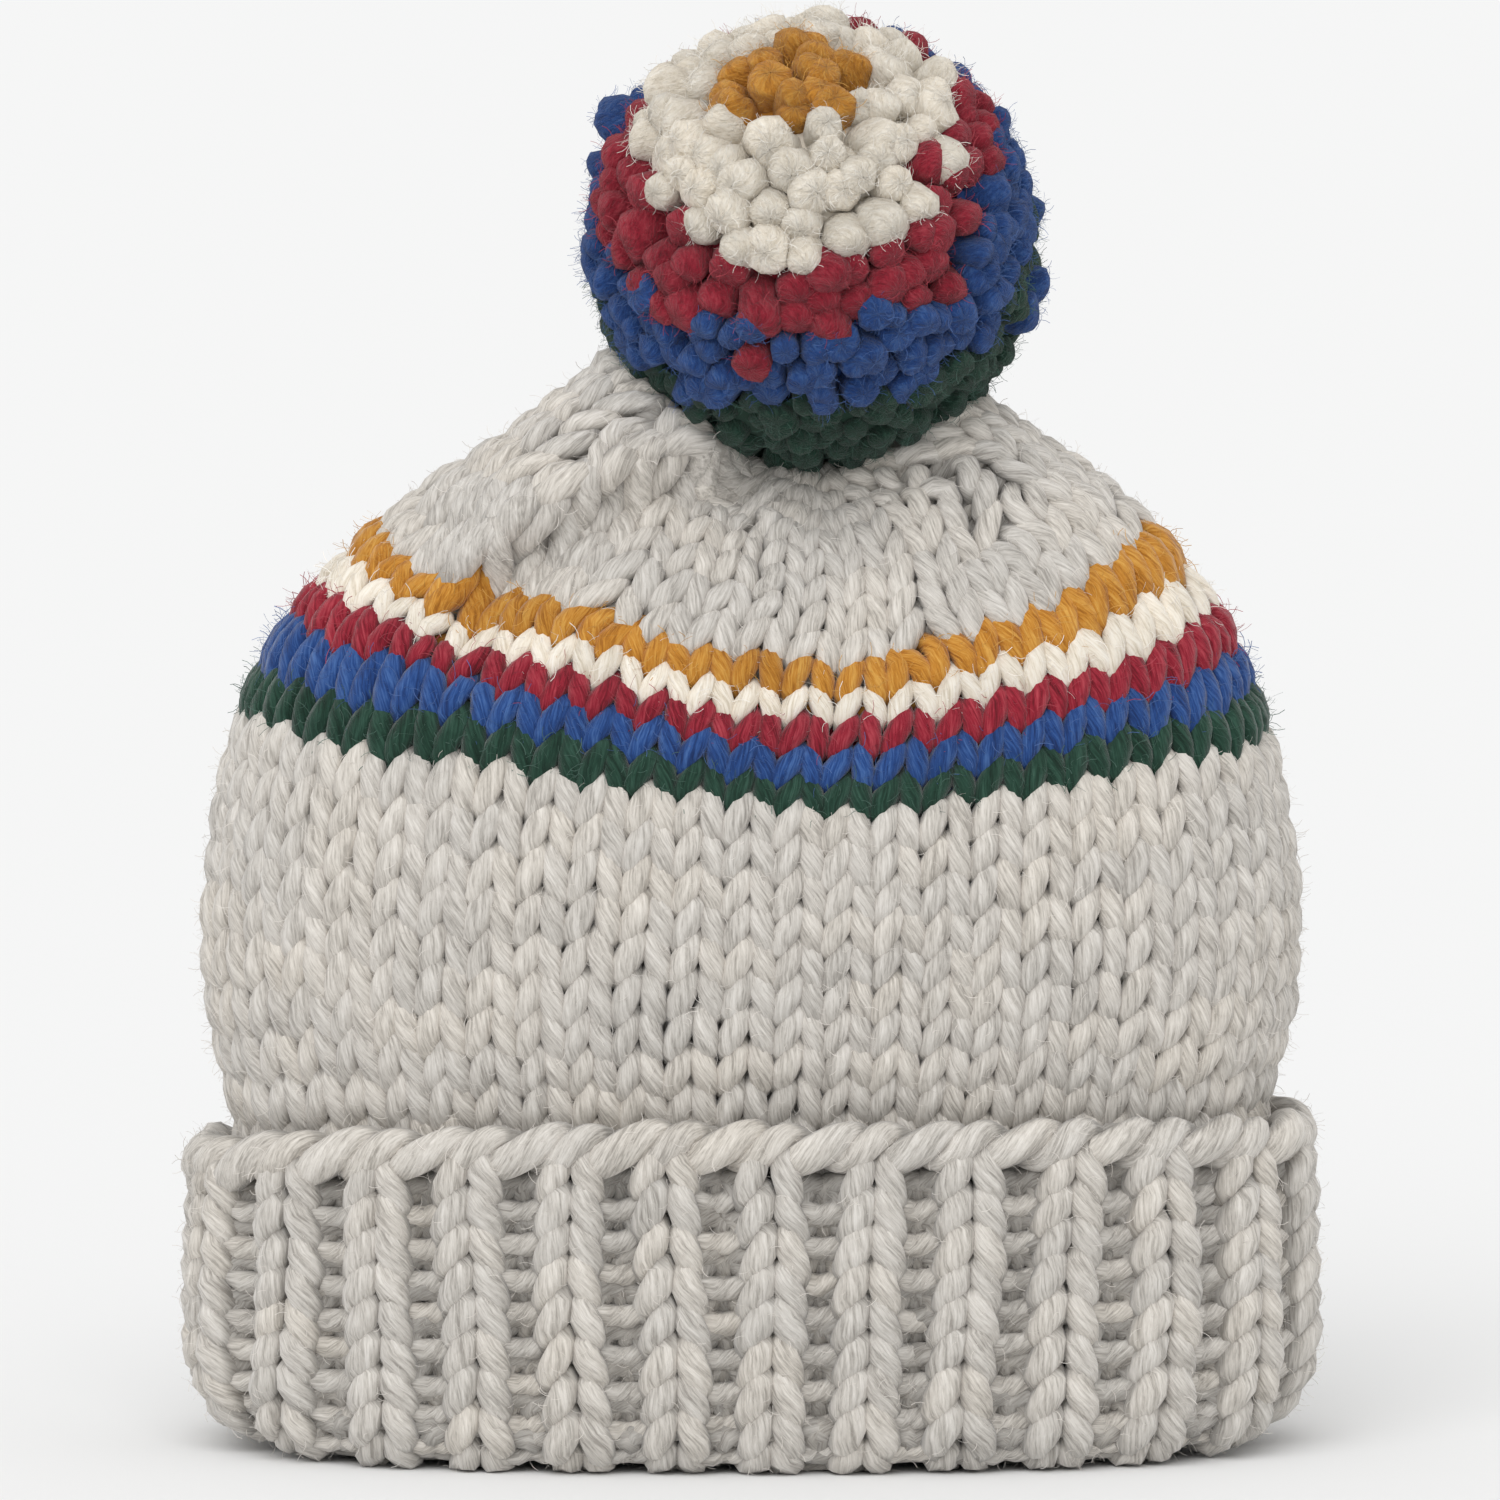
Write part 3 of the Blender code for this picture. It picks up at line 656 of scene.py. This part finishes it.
def crown_rows(rows, turn):
    """Knitted rows of the crown on the sheet: closer together at the sides, where the wall is taller."""
    front = np.interp(rows, CROWN_ROWS, AT_FRONT)
    sides = np.interp(rows, CROWN_ROWS, AT_SIDES)
    return front + (sides - front) * np.sin(2 * np.pi * turn) ** 2


crown_strands = []
for index in range(len(STRIPES) + 1, len(row_columns)):
    crown_strands.append(knit_row(WALL_SHEET, BODY_ROWS + index - 1, row_columns[index], row_below[index],
                                  row_above[index], draws, settle=crown_rows))
crown = spin_yarn("crown_knitting", crown_strands, grey_wool)
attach(crown, "root")
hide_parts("crown")
add_backing("crown_backing", WALL_SHEET, STRIPE_END, LEVELS[-1][0] - GRID_STEP, "grey")

# The cuff: the first rows of the hat in one-by-one rib, turned up on the outside. A rib is a column of
# knit loops that stands forward, the furrow beside it a column of purl loops that lies back. The rows
# run down the outside from the cast-on edge, round the fold at the foot and up again inside.
CUFF_SLIT = 0.0007
CUFF_BELLY = 0.001
RIB = {"depth": 0.0064, "spread": 0.12, "knit_sway": 1.0, "purl_sway": 2.3, "knit_thick": 1.16,
       "purl_thick": 1.08}
RIB_LEAN = -0.04
LEAF_BACK = 0.0022
LEAF_ROWS = 7.8
FOLD_ROWS = 2.2
INNER_ROWS = 7
EDGE_DROP = 0.0062
END_DROPS = (0.0050, 0.0020)
CUFF_BACKING_IN = 0.0056
HALF_THICK = 0.0037
CORNER_ROUND = 0.009
CORNER_RISE = 0.020
CORNER_LIFT = 0.0035
CORNER_POWER = 6
CORNER_CURVE = 1.5
FOLD_REACH = 1.2
FLOOR_GAP = 0.0002


def cuff_sheet():
    """The middle of the cuff's thickness, from the cast-on edge down, round the fold and up inside."""
    first_row = int(-LEVELS[0][0] / GRID_STEP)
    _, wall, wall_normals = WALL_SHEET
    pressed = CUFF_PRESS * facing(wall[first_row, :, :1])
    foot = wall[first_row] + wall_normals[first_row] * (WALL / 2 + pressed)
    edge_height = foot[:, 2]
    outward = wall_normals[first_row].copy()
    outward[:, 2] = 0
    outward /= np.linalg.norm(outward, axis=1, keepdims=True)
    leaf = CUFF_SLIT + WALL / 2 - LEAF_BACK
    end = np.clip(np.abs(foot[:, 0]) / np.abs(foot[:, 0]).max(), 0, 1) ** CORNER_POWER
    inner = -WALL / 2
    bend = (leaf - inner) / 2
    bend_height = HALF_THICK + bend
    rows = np.arange(-1, LEAF_ROWS + FOLD_ROWS + INNER_ROWS + 1, GRID_STEP)
    points = np.zeros((len(rows), GRID_AROUND, 3))
    for k, row in enumerate(rows):
        top = edge_height - EDGE_DROP - np.where(foot[:, 0] < 0, *END_DROPS) * end
        if row < LEAF_ROWS:
            share = row / LEAF_ROWS
            out = leaf + CUFF_BELLY * math.sin(math.pi * min(max(share, 0), 1))
            height = top + (bend_height - top) * share
        elif row < LEAF_ROWS + FOLD_ROWS:
            angle = math.pi * (row - LEAF_ROWS) / FOLD_ROWS
            out = (leaf + inner) / 2 + bend * math.cos(angle)
            height = np.full(GRID_AROUND, bend_height - bend * math.sin(angle))
        else:
            out = inner
            height = bend_height + (row - LEAF_ROWS - FOLD_ROWS) * (top - bend_height) / LEAF_ROWS
        low = np.clip(1 - height / CORNER_RISE, 0, 1)
        inset = CORNER_ROUND * end * low ** CORNER_CURVE
        points[k] = foot * (1, 1, 0) + outward * (out - inset)[:, None]
        points[k, :, 2] = height + CORNER_LIFT * end * low
    return rows[0], points, -sheet_normals(points)


CUFF_SHEET = cuff_sheet()
rib_strands = []
for row in range(0, int(LEAF_ROWS + FOLD_ROWS)):
    at_fold = math.exp(-((row + 0.5 - LEAF_ROWS - FOLD_ROWS / 2) / FOLD_REACH) ** 2)
    rib = dict(RIB, depth=RIB["depth"] * (1 - at_fold))
    rib_strands.append(knit_row(CUFF_SHEET, row, plain_columns, plain_columns, plain_columns, draws,
                                lean=RIB_LEAN, rib=rib))
cuff = spin_yarn("cuff_ribbing", rib_strands, grey_wool, floor=FLOOR_GAP)
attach(cuff, "root")
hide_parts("cuff")
add_backing("cuff_backing", CUFF_SHEET, 0.0, LEAF_ROWS + FOLD_ROWS + INNER_ROWS, "grey",
            CUFF_BACKING_IN)

# The inside of the cuff: the same ribbing where it runs back up behind the turned-up leaf to the body.
INNER_POINTS = 10
inner_strands = [knit_row(CUFF_SHEET, row, plain_columns, plain_columns, plain_columns, draws,
                          points=INNER_POINTS, lean=RIB_LEAN, rib=RIB)
                 for row in range(int(LEAF_ROWS + FOLD_ROWS), int(LEAF_ROWS + FOLD_ROWS) + INNER_ROWS)]
cuff_inside = spin_yarn("cuff_inside", inner_strands, grey_wool)
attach(cuff_inside, "root")

# The cast-on edge: a plump strand along the cuff's top, laid in slanting wraps, one to every rib, with
# a second strand that shows in the dips between them.
EDGE_YARN = 0.0064
EDGE_RISE = 0.0027
EDGE_DEPTH = 0.0024
EDGE_OUT = 0.0016
EDGE_POINTS = 20
EDGE_ROW = -0.30
EDGE_SWELL = 0.10
EDGE_UNEVEN = 0.0005
EDGE_THINS = 0.16
wraps = STITCHES // 2
edge_strands = []
# where the strand lies forward, how far its wraps reach back, and its thickness
for phase, backstep, thin in ((0.0, 0.075, 1.05), (0.46, -0.01, 0.94)):
    t = 2 * np.pi * np.arange(wraps * EDGE_POINTS) / EDGE_POINTS
    flat = t / (2 * np.pi)
    swell = 1 + EDGE_SWELL * stitch_noise(draws, wraps, flat)
    turn = (flat + phase + COLUMN_SHIFT / 2 - backstep * np.sin(t)) / wraps
    depth = EDGE_OUT - EDGE_DEPTH * np.cos(t)
    edge_path, edge_normals = place(CUFF_SHEET, np.full(len(t), EDGE_ROW), turn, depth)
    edge_path[:, 2] -= EDGE_RISE * swell * np.sin(t) + EDGE_UNEVEN * stitch_noise(draws, wraps, flat)
    # front: how far each wrap lies forward, raised so that less of the edge takes the painted shade
    edge_strands.append({"path": edge_path, "normals": edge_normals,
                         "thick": thin * swell * (1 - EDGE_THINS * np.cos(t)),
                         "tone": 0.6 + 0.4 * stitch_noise(draws, wraps, flat), "front": 0.6 - np.cos(t)})
cast_on = spin_yarn("cast_on_edge", edge_strands, grey_wool, yarn=EDGE_YARN)
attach(cast_on, "root")

# The pompom: yarn wound in five colours, tied in the middle and cut, so that its ends stand out in
# plump tufts that lap over each other like shingles. The colours lie in rings about a pole that leans
# towards the front, with a few stray ends outside their ring.
SIDE_STRETCH = 1.08
TUFT_ROOT = 0.022
TUFT_LEAN = 0.22
TUFT_TIP = 0.0012
TUFT_BEND = 0.86
TUFT_UPRIGHT = 55
TUFT_JITTER = 0.05
TUFT_LENGTHS = (-0.0018, 0.0008)
TUFT_SIZES = (0.85, 1.18)
# how far a tuft shows, from root to tip: its deep roots get painted shade and fewer hairs
TUFT_SHOWING = (-1.2, 1.4)
# how thick a tuft is along it: at shares of its length from the tip, then at shares of its radius
TUFT_STEM = ((1.0, 0.80), (0.7, 0.92), (0.45, 1.0))
TUFT_END = ((1.9, 1.04), (1.0, 1.0), (0.5, 0.87), (0.2, 0.60), (0.05, 0.31), (0.0, 0.02))
RING_SHIFT = 3
RING_WAVES = (4, 3)
# colour; tilt: how many degrees the ring's pole stands above the level; reach: the angle from the pole
# to which the colour runs; spacing and radius of the tufts; extra: length past the ball; felt: radius
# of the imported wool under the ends
TUFTS = (
    ("gold", 53.0, 20.5, 0.0054, 0.0042, 0.0005, 0.0405),
    ("cream", 50.0, 49.0, 0.0056, 0.0046, 0.0008, 0.0415),
    ("red", 42.0, 64.0, 0.0058, 0.0044, 0.0003, 0.0405),
    ("blue", 37.0, 87.0, 0.0050, 0.0037, 0.0010, 0.0415),
    ("green", 37.0, 181.0, 0.0046, 0.0031, 0.0008, 0.0445),
)
# where a few ends stand outside their ring, and how far past the ball they reach
STRAY_ENDS = (
    ("red", (-0.27, -0.82, -0.50), 0.0015),
    ("red", (0.50, -0.74, 0.46), 0.0005),
    ("blue", (-0.78, 0.02, 0.62), 0.0040),
    ("blue", (-0.85, 0.00, 0.52), 0.0045),
    ("blue", (-0.91, 0.00, 0.40), 0.0030),
    ("blue", (0.97, -0.10, -0.20), 0.0025),
    ("blue", (0.93, -0.12, -0.34), 0.0025),
    ("blue", (0.78, -0.05, 0.62), 0.0010),
)
SCATTER = 9000
# painted shade on the pompom's cut ends: the share of their colour they keep at the roots, lighter than on
# the knitting
END_PAINTED_SHADE = 0.88


def ring_pole(tilt):
    """The direction of a ring's pole, a little to the left of the front."""
    return np.array((-0.16, -math.cos(math.radians(tilt)), math.sin(math.radians(tilt))))


def pole_angle(direction, pole):
    """The angle from a ring's pole in degrees, stretched sideways, with an uneven edge."""
    side = np.array((1.0, 0.0, 0.0)) - pole * pole[0]
    side /= np.linalg.norm(side)
    across = direction @ side * SIDE_STRETCH
    other = direction @ np.cross(pole, side)
    angle = math.degrees(math.atan2(math.hypot(across, other), direction @ pole))
    x, y, z = direction
    slow, quick = RING_WAVES
    return angle - RING_SHIFT * x + slow * math.sin(9 * x + 5 * z) + quick * math.sin(13 * z - 7 * y + 1)


def ring_of(direction):
    """The row of TUFTS whose ring a direction lies in."""
    return next(ring for ring in TUFTS if pole_angle(direction, ring_pole(ring[1])) < ring[2])


def tuft_directions():
    """Where each colour's tufts stand: the stray ends first, then as many more as find room."""
    places = {ring[0]: [] for ring in TUFTS}
    taken = []
    for colour, direction, further in STRAY_ENDS:
        taken.append(np.array(direction) / np.linalg.norm(direction))
        places[colour].append((taken[-1], further))
    for k in draws.permutation(SCATTER):
        height = 1 - 2 * (k + 0.5) / SCATTER
        swing = k * math.pi * (3 - math.sqrt(5))
        flat = math.sqrt(1 - height * height)
        direction = np.array((flat * math.cos(swing), flat * math.sin(swing), height))
        colour, _, _, spacing, _, extra, _ = ring_of(direction)
        if np.linalg.norm((np.array(taken) - direction) * POMPOM_RADIUS, axis=1).min() < spacing:
            continue
        taken.append(direction)
        places[colour].append((direction, extra))
    return places


def tuft(direction, radius, extra):
    """One tuft: it leaves the tie straight out, then lies over away from the pole, and ends round."""
    pole = ring_pole(TUFTS[0][1])
    away = direction - pole * (direction @ pole)
    away /= max(np.linalg.norm(away), 1e-6)
    steep = min(math.degrees(math.acos(np.clip(direction @ pole, -1, 1))) / TUFT_UPRIGHT, 1)
    lean = away * TUFT_LEAN * steep + draws.normal(0, TUFT_JITTER, 3)
    length = POMPOM_RADIUS + extra + draws.uniform(*TUFT_LENGTHS)
    start = direction * TUFT_ROOT
    bend = direction * length * TUFT_BEND
    tip = direction + lean
    tip = tip / np.linalg.norm(tip) * (length - TUFT_TIP)
    whole = np.linalg.norm(bend - start) + np.linalg.norm(tip - bend)
    from_tip = [share * whole for share, _ in TUFT_STEM] + [share * radius for share, _ in TUFT_END]
    thick = np.array([size for _, size in TUFT_STEM + TUFT_END])
    t = (1 - np.array(from_tip) / whole)[:, None]
    path = start * (1 - t) ** 2 + 2 * bend * t * (1 - t) + tip * t ** 2 + POMPOM_CENTRE
    size = radius / (YARN / 2) * draws.uniform(*TUFT_SIZES)
    return {"path": path, "normals": np.tile(np.cross(direction, away), (len(path), 1)),
            "thick": thick * size, "tone": np.full(len(path), draws.uniform(0, 1)),
            "front": np.clip(np.linspace(*TUFT_SHOWING, len(path)), 0, 1)}


def pompom_felt(colour, felt_radius):
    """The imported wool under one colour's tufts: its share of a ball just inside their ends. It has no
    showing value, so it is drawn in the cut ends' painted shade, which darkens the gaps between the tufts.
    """
    ball = bmesh.new()
    bmesh.ops.create_icosphere(ball, subdivisions=5, radius=felt_radius)
    others = [face for face in ball.faces
              if ring_of(np.array(face.calc_center_median().normalized()))[0] != colour]
    bmesh.ops.delete(ball, geom=others, context="FACES")
    bmesh.ops.translate(ball, verts=ball.verts, vec=Vector(POMPOM_CENTRE))
    mesh = bpy.data.meshes.new("pompom_felt_" + colour)
    ball.to_mesh(mesh)
    ball.free()
    mesh.shade_smooth()
    mesh.materials.append(cut_ends[colour])
    felt = bpy.data.objects.new("pompom_felt_" + colour, mesh)
    bpy.context.scene.collection.objects.link(felt)
    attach(felt, "root")


# the cut ends' wool, with painted shade towards their roots
cut_ends = {colour: wool(colour + "_ends", shades, lay=0.5, streak=0.8, sheen=0.15, fluff=1.0,
                         painted_deep_shade=END_PAINTED_SHADE)
            for colour, _, _, shades in STRIPES}
tufts = {}
places = tuft_directions()
for colour, _, _, _, radius, _, felt_radius in TUFTS:
    strands = [tuft(direction, radius, extra) for direction, extra in places[colour]]
    tufts[colour] = spin_yarn("pompom_tufts_" + colour, strands, cut_ends[colour], closed=False, lump=0.30,
                              roundness=3)
    pompom_felt(colour, felt_radius)
    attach(tufts[colour], "root")
    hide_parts("pompom_" + colour)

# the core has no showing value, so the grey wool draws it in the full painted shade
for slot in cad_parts["pompom_core"].material_slots:
    slot.material = grey_wool

# The halo: wool is hairy, so fine loose fibres stand off every yarn, most on the pompom and the
# stripes. They are short bent ribbons scattered over the yarn's outer side.
HAIR_WIDTH = 0.030
HAIR_LENGTH = 0.0030
STRIPE_HAIR_LENGTH = 0.0040
DARK_HAIR = 0.75
HAIRS = {"grey": (0.80, 0.76, 0.71), "green": (0.08, 0.15, 0.12), "blue": (0.08, 0.15, 0.36),
         "red": (0.40, 0.06, 0.08), "cream": (0.92, 0.89, 0.83), "gold": (0.66, 0.36, 0.09)}


def hair_wool(name, colour):
    """A single loose fibre of the yarn, paler than the yarn because the light passes through it."""
    material = bpy.data.materials.new(name)
    material.use_nodes = True
    tree = material.node_tree
    nodes = tree.nodes
    links = tree.links
    shader = nodes["Principled BSDF"]
    shader.inputs["Roughness"].default_value = 0.6
    shader.inputs["Specular IOR Level"].default_value = 0.2
    tint = nodes.new("ShaderNodeTexNoise")
    tint.inputs["Scale"].default_value = 90.0
    place_in_hat = nodes.new("ShaderNodeTexCoord")
    links.new(place_in_hat.outputs["Object"], tint.inputs["Vector"])
    darker = tuple(DARK_HAIR * part for part in colour)
    shades = colour_ramp(tree, tint.outputs["Fac"], ((0.35, darker), (0.6, colour)))
    links.new(shades, shader.inputs["Base Color"])
    return material


def hair_tree():
    """A node group that scatters bent hairs over a mesh, thickest where its showing value is 1."""
    tree = bpy.data.node_groups.new("loose_fibres", "GeometryNodeTree")
    tree.interface.new_socket("Geometry", in_out="INPUT", socket_type="NodeSocketGeometry")
    tree.interface.new_socket("Density", in_out="INPUT", socket_type="NodeSocketFloat")
    tree.interface.new_socket("Length", in_out="INPUT", socket_type="NodeSocketFloat")
    tree.interface.new_socket("Geometry", in_out="OUTPUT", socket_type="NodeSocketGeometry")
    nodes = tree.nodes
    links = tree.links
    given = nodes.new("NodeGroupInput")
    weight = nodes.new("GeometryNodeInputNamedAttribute")
    weight.data_type = "FLOAT"
    weight.inputs["Name"].default_value = "showing"
    amount = nodes.new("ShaderNodeMath")
    amount.operation = "MULTIPLY"
    links.new(weight.outputs["Attribute"], amount.inputs[0])
    links.new(given.outputs["Density"], amount.inputs[1])
    scatter = nodes.new("GeometryNodeDistributePointsOnFaces")
    scatter.inputs["Seed"].default_value = 5
    links.new(given.outputs["Geometry"], scatter.inputs["Mesh"])
    links.new(amount.outputs[0], scatter.inputs["Density"])

    bent = nodes.new("GeometryNodeCurveQuadraticBezier")
    bent.inputs["Resolution"].default_value = 2
    bent.inputs["Start"].default_value = (0.0, 0.0, -0.05)
    bent.inputs["Middle"].default_value = (0.0, 0.0, 0.5)
    bent.inputs["End"].default_value = (0.45, 0.0, 0.8)
    edge = nodes.new("GeometryNodeCurvePrimitiveLine")
    edge.inputs["Start"].default_value = (0.0, -HAIR_WIDTH / 2, 0.0)
    edge.inputs["End"].default_value = (0.0, HAIR_WIDTH / 2, 0.0)
    ribbon = nodes.new("GeometryNodeCurveToMesh")
    links.new(bent.outputs["Curve"], ribbon.inputs["Curve"])
    links.new(edge.outputs["Curve"], ribbon.inputs["Profile Curve"])

    tilt = nodes.new("FunctionNodeRandomValue")
    tilt.data_type = "FLOAT_VECTOR"
    tilt.inputs["Min"].default_value = (-1.25, -1.25, 0.0)
    tilt.inputs["Max"].default_value = (1.25, 1.25, 2 * math.pi)
    turned = nodes.new("FunctionNodeEulerToRotation")
    links.new(tilt.outputs["Value"], turned.inputs["Euler"])
    aimed = nodes.new("FunctionNodeRotateRotation")
    aimed.rotation_space = "LOCAL"
    links.new(scatter.outputs["Rotation"], aimed.inputs["Rotation"])
    links.new(turned.outputs["Rotation"], aimed.inputs["Rotate By"])
    size = nodes.new("FunctionNodeRandomValue")
    size.data_type = "FLOAT"
    size.inputs[2].default_value = 0.4
    size.inputs[3].default_value = 1.2
    grown = nodes.new("ShaderNodeMath")
    grown.operation = "MULTIPLY"
    links.new(size.outputs[1], grown.inputs[0])
    links.new(given.outputs["Length"], grown.inputs[1])
    hairs = nodes.new("GeometryNodeInstanceOnPoints")
    links.new(scatter.outputs["Points"], hairs.inputs["Points"])
    links.new(ribbon.outputs["Mesh"], hairs.inputs["Instance"])
    links.new(aimed.outputs["Rotation"], hairs.inputs["Rotation"])
    links.new(grown.outputs[0], hairs.inputs["Scale"])
    real = nodes.new("GeometryNodeRealizeInstances")
    links.new(hairs.outputs["Instances"], real.inputs["Geometry"])
    given_back = nodes.new("NodeGroupOutput")
    links.new(real.outputs["Geometry"], given_back.inputs["Geometry"])
    return tree


def add_halo(name, piece, colour, density, length):
    """Loose fibres over one piece, as a mesh of its own."""
    grower = bpy.data.objects.new(name + "_grower", piece.data)
    bpy.context.scene.collection.objects.link(grower)
    growth = grower.modifiers.new("loose_fibres", "NODES")
    growth.node_group = HAIR_TREE
    density_socket, length_socket = [item.identifier for item in HAIR_TREE.interface.items_tree
                                     if item.name in ("Density", "Length")]
    growth[density_socket] = float(density)
    growth[length_socket] = float(length)
    bpy.context.view_layer.update()
    mesh = bpy.data.meshes.new_from_object(grower.evaluated_get(bpy.context.evaluated_depsgraph_get()))
    bpy.data.objects.remove(grower)
    mesh.name = name
    for vert in mesh.vertices:
        vert.co.z = max(vert.co.z, FLOOR_GAP)
    mesh.materials.clear()
    mesh.materials.append(loose[colour])
    halo = bpy.data.objects.new(name, mesh)
    bpy.context.scene.collection.objects.link(halo)
    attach(halo, "root")


HAIR_TREE = hair_tree()
loose = {colour: hair_wool(colour + "_hairs", shade) for colour, shade in HAIRS.items()}
# name, the piece the hairs stand on, their colour, hairs to a square metre where it shows, and length
halos = [
    ("body_halo", body, "grey", 200000, HAIR_LENGTH),
    ("cuff_halo", cuff, "grey", 180000, HAIR_LENGTH),
    ("cast_on_halo", cast_on, "grey", 200000, HAIR_LENGTH),
    ("crown_halo", crown, "grey", 220000, HAIR_LENGTH),
]
for colour, _, _, _ in STRIPES:
    halos.append((colour + "_row_halo", stripes[colour], colour, 320000, STRIPE_HAIR_LENGTH))
for ring in TUFTS:
    halos.append(("pompom_halo_" + ring[0], tufts[ring[0]], ring[0], 800000, HAIR_LENGTH))
for name, piece, colour, density, length in halos:
    add_halo(name, piece, colour, density, length)
